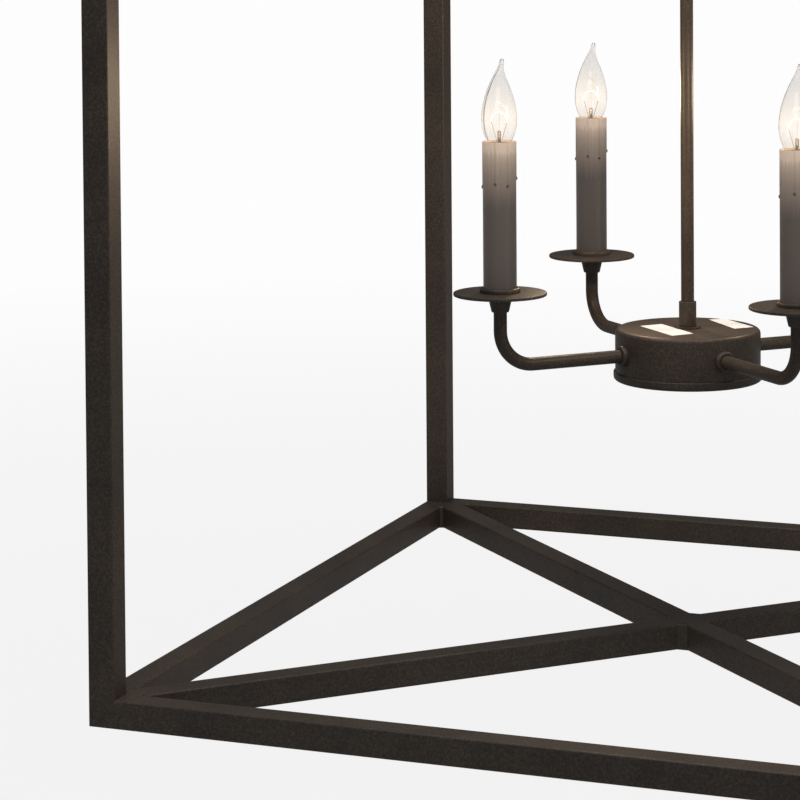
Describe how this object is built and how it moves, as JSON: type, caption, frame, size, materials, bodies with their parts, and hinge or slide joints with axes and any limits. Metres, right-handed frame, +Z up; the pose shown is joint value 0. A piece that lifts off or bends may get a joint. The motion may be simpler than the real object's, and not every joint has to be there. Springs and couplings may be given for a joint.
{
  "type": "box cage pendant light",
  "caption": "Open square-tube box cage pendant hung on a rod, with candle lights on bent arms from a round hub inside.",
  "frame": {"origin": "centre of the canopy's rim on the ceiling plane", "axes": "+Z up into the ceiling, +X along the front rail, +Y away from the front"},
  "size_m": [0.864, 0.864, 1.5626],
  "materials": {
    "frame_bronze": "fine-textured oil-rubbed bronze powder coat",
    "rod_bronze": "fine-textured oil-rubbed bronze powder coat",
    "hub_bronze": "fine-textured oil-rubbed bronze powder coat",
    "arm_bronze": "fine-textured oil-rubbed bronze powder coat",
    "disc_bronze": "fine-textured oil-rubbed bronze powder coat",
    "canopy_bronze": "fine-textured oil-rubbed bronze powder coat",
    "zinc_hardware": "zinc plated",
    "ground_screw": "green dyed",
    "socket_body": "phenolic",
    "brass_screw": "bright",
    "sleeve": "bronze-coated, worn thin at the lit rim",
    "bulb_glass": "clear"
  },
  "bodies": {
    "ceiling_fitting": {"mounting_strap": "zinc_hardware", "ground_screw": "ground_screw", "canopy_nipple": "zinc_hardware", "canopy_locknut": "zinc_hardware", "canopy": "canopy_bronze", "swivel_yoke": "canopy_bronze", "swivel_pin": "canopy_bronze"},
    "pendant": {"swivel_knuckle": "canopy_bronze", "upper_rod": "rod_bronze", "rod_coupling": "rod_bronze", "lower_rod": "rod_bronze", "stem_couplings": "rod_bronze", "toothed_washers": "rod_bronze", "centre_stem": "rod_bronze", "post_front_left": "frame_bronze", "post_front_right": "frame_bronze", "post_back_right": "frame_bronze", "post_back_left": "frame_bronze", "bottom_rail_front": "frame_bronze", "bottom_rail_back": "frame_bronze", "bottom_rail_left": "frame_bronze", "bottom_rail_right": "frame_bronze", "top_rail_front": "frame_bronze", "top_rail_back": "frame_bronze", "top_rail_left": "frame_bronze", "top_rail_right": "frame_bronze", "bottom_brace_bar": "frame_bronze", "bottom_brace_halves": "frame_bronze", "top_brace_bar": "frame_bronze", "top_brace_halves": "frame_bronze", "hub_body": "hub_bronze", "hub_cover": "hub_bronze", "cover_nut": "hub_bronze", "arm_1": "arm_bronze", "arm_2": "arm_bronze", "arm_3": "arm_bronze", "arm_4": "arm_bronze", "arm_collars": "arm_bronze", "candle_cups": "disc_bronze", "bobeches": "disc_bronze", "seat_rings": "disc_bronze", "frame_nipple": "zinc_hardware", "hub_nipple": "zinc_hardware", "locknuts": "zinc_hardware", "socket_posts": "zinc_hardware", "lamp_sockets": "socket_body", "socket_shells": "brass_screw"},
    "sleeve_1": {"candle_sleeve_1": "sleeve"},
    "base_1": {"bulb_base_1": "brass_screw"},
    "glass_1": {"bulb_glass_1": "bulb_glass"},
    "sleeve_2": {"candle_sleeve_2": "sleeve"},
    "base_2": {"bulb_base_2": "brass_screw"},
    "glass_2": {"bulb_glass_2": "bulb_glass"},
    "sleeve_3": {"candle_sleeve_3": "sleeve"},
    "base_3": {"bulb_base_3": "brass_screw"},
    "glass_3": {"bulb_glass_3": "bulb_glass"},
    "sleeve_4": {"candle_sleeve_4": "sleeve"},
    "base_4": {"bulb_base_4": "brass_screw"},
    "glass_4": {"bulb_glass_4": "bulb_glass"}
  },
  "joints": [
    {"name": "swivel_tilt", "type": "hinge", "parent": "ceiling_fitting", "child": "pendant", "pos_m": [0, 0, -0.047], "axis": [1, 0, 0], "range_deg": [-45, 45]},
    {"name": "sleeve_1_lift", "type": "slide", "parent": "pendant", "child": "sleeve_1", "axis": [0, 0, 1], "range_m": [0, 0.007]},
    {"name": "bulb_1_rise", "type": "slide", "parent": "pendant", "child": "base_1", "axis": [0, 0, 1], "range_m": [0, 0.01089]},
    {"name": "bulb_1_turn", "type": "hinge", "parent": "base_1", "child": "glass_1", "pos_m": [-0.14354, -0.14354, -1.0599], "axis": [0, 0, 1], "range_deg": [0, 1080]},
    {"name": "sleeve_2_lift", "type": "slide", "parent": "pendant", "child": "sleeve_2", "axis": [0, 0, 1], "range_m": [0, 0.007]},
    {"name": "bulb_2_rise", "type": "slide", "parent": "pendant", "child": "base_2", "axis": [0, 0, 1], "range_m": [0, 0.01089]},
    {"name": "bulb_2_turn", "type": "hinge", "parent": "base_2", "child": "glass_2", "pos_m": [-0.14354, 0.14354, -1.0599], "axis": [0, 0, 1], "range_deg": [0, 1080]},
    {"name": "sleeve_3_lift", "type": "slide", "parent": "pendant", "child": "sleeve_3", "axis": [0, 0, 1], "range_m": [0, 0.007]},
    {"name": "bulb_3_rise", "type": "slide", "parent": "pendant", "child": "base_3", "axis": [0, 0, 1], "range_m": [0, 0.01089]},
    {"name": "bulb_3_turn", "type": "hinge", "parent": "base_3", "child": "glass_3", "pos_m": [0.14354, 0.14354, -1.0599], "axis": [0, 0, 1], "range_deg": [0, 1080]},
    {"name": "sleeve_4_lift", "type": "slide", "parent": "pendant", "child": "sleeve_4", "axis": [0, 0, 1], "range_m": [0, 0.007]},
    {"name": "bulb_4_rise", "type": "slide", "parent": "pendant", "child": "base_4", "axis": [0, 0, 1], "range_m": [0, 0.01089]},
    {"name": "bulb_4_turn", "type": "hinge", "parent": "base_4", "child": "glass_4", "pos_m": [0.14354, -0.14354, -1.0599], "axis": [0, 0, 1], "range_deg": [0, 1080]}
  ],
  "couplings": [
    {"joint": "bulb_1_turn", "follows": "bulb_1_rise", "rad_per_m": 1731.6},
    {"joint": "bulb_2_turn", "follows": "bulb_2_rise", "rad_per_m": 1731.6},
    {"joint": "bulb_3_turn", "follows": "bulb_3_rise", "rad_per_m": 1731.6},
    {"joint": "bulb_4_turn", "follows": "bulb_4_rise", "rad_per_m": 1731.6}
  ]
}
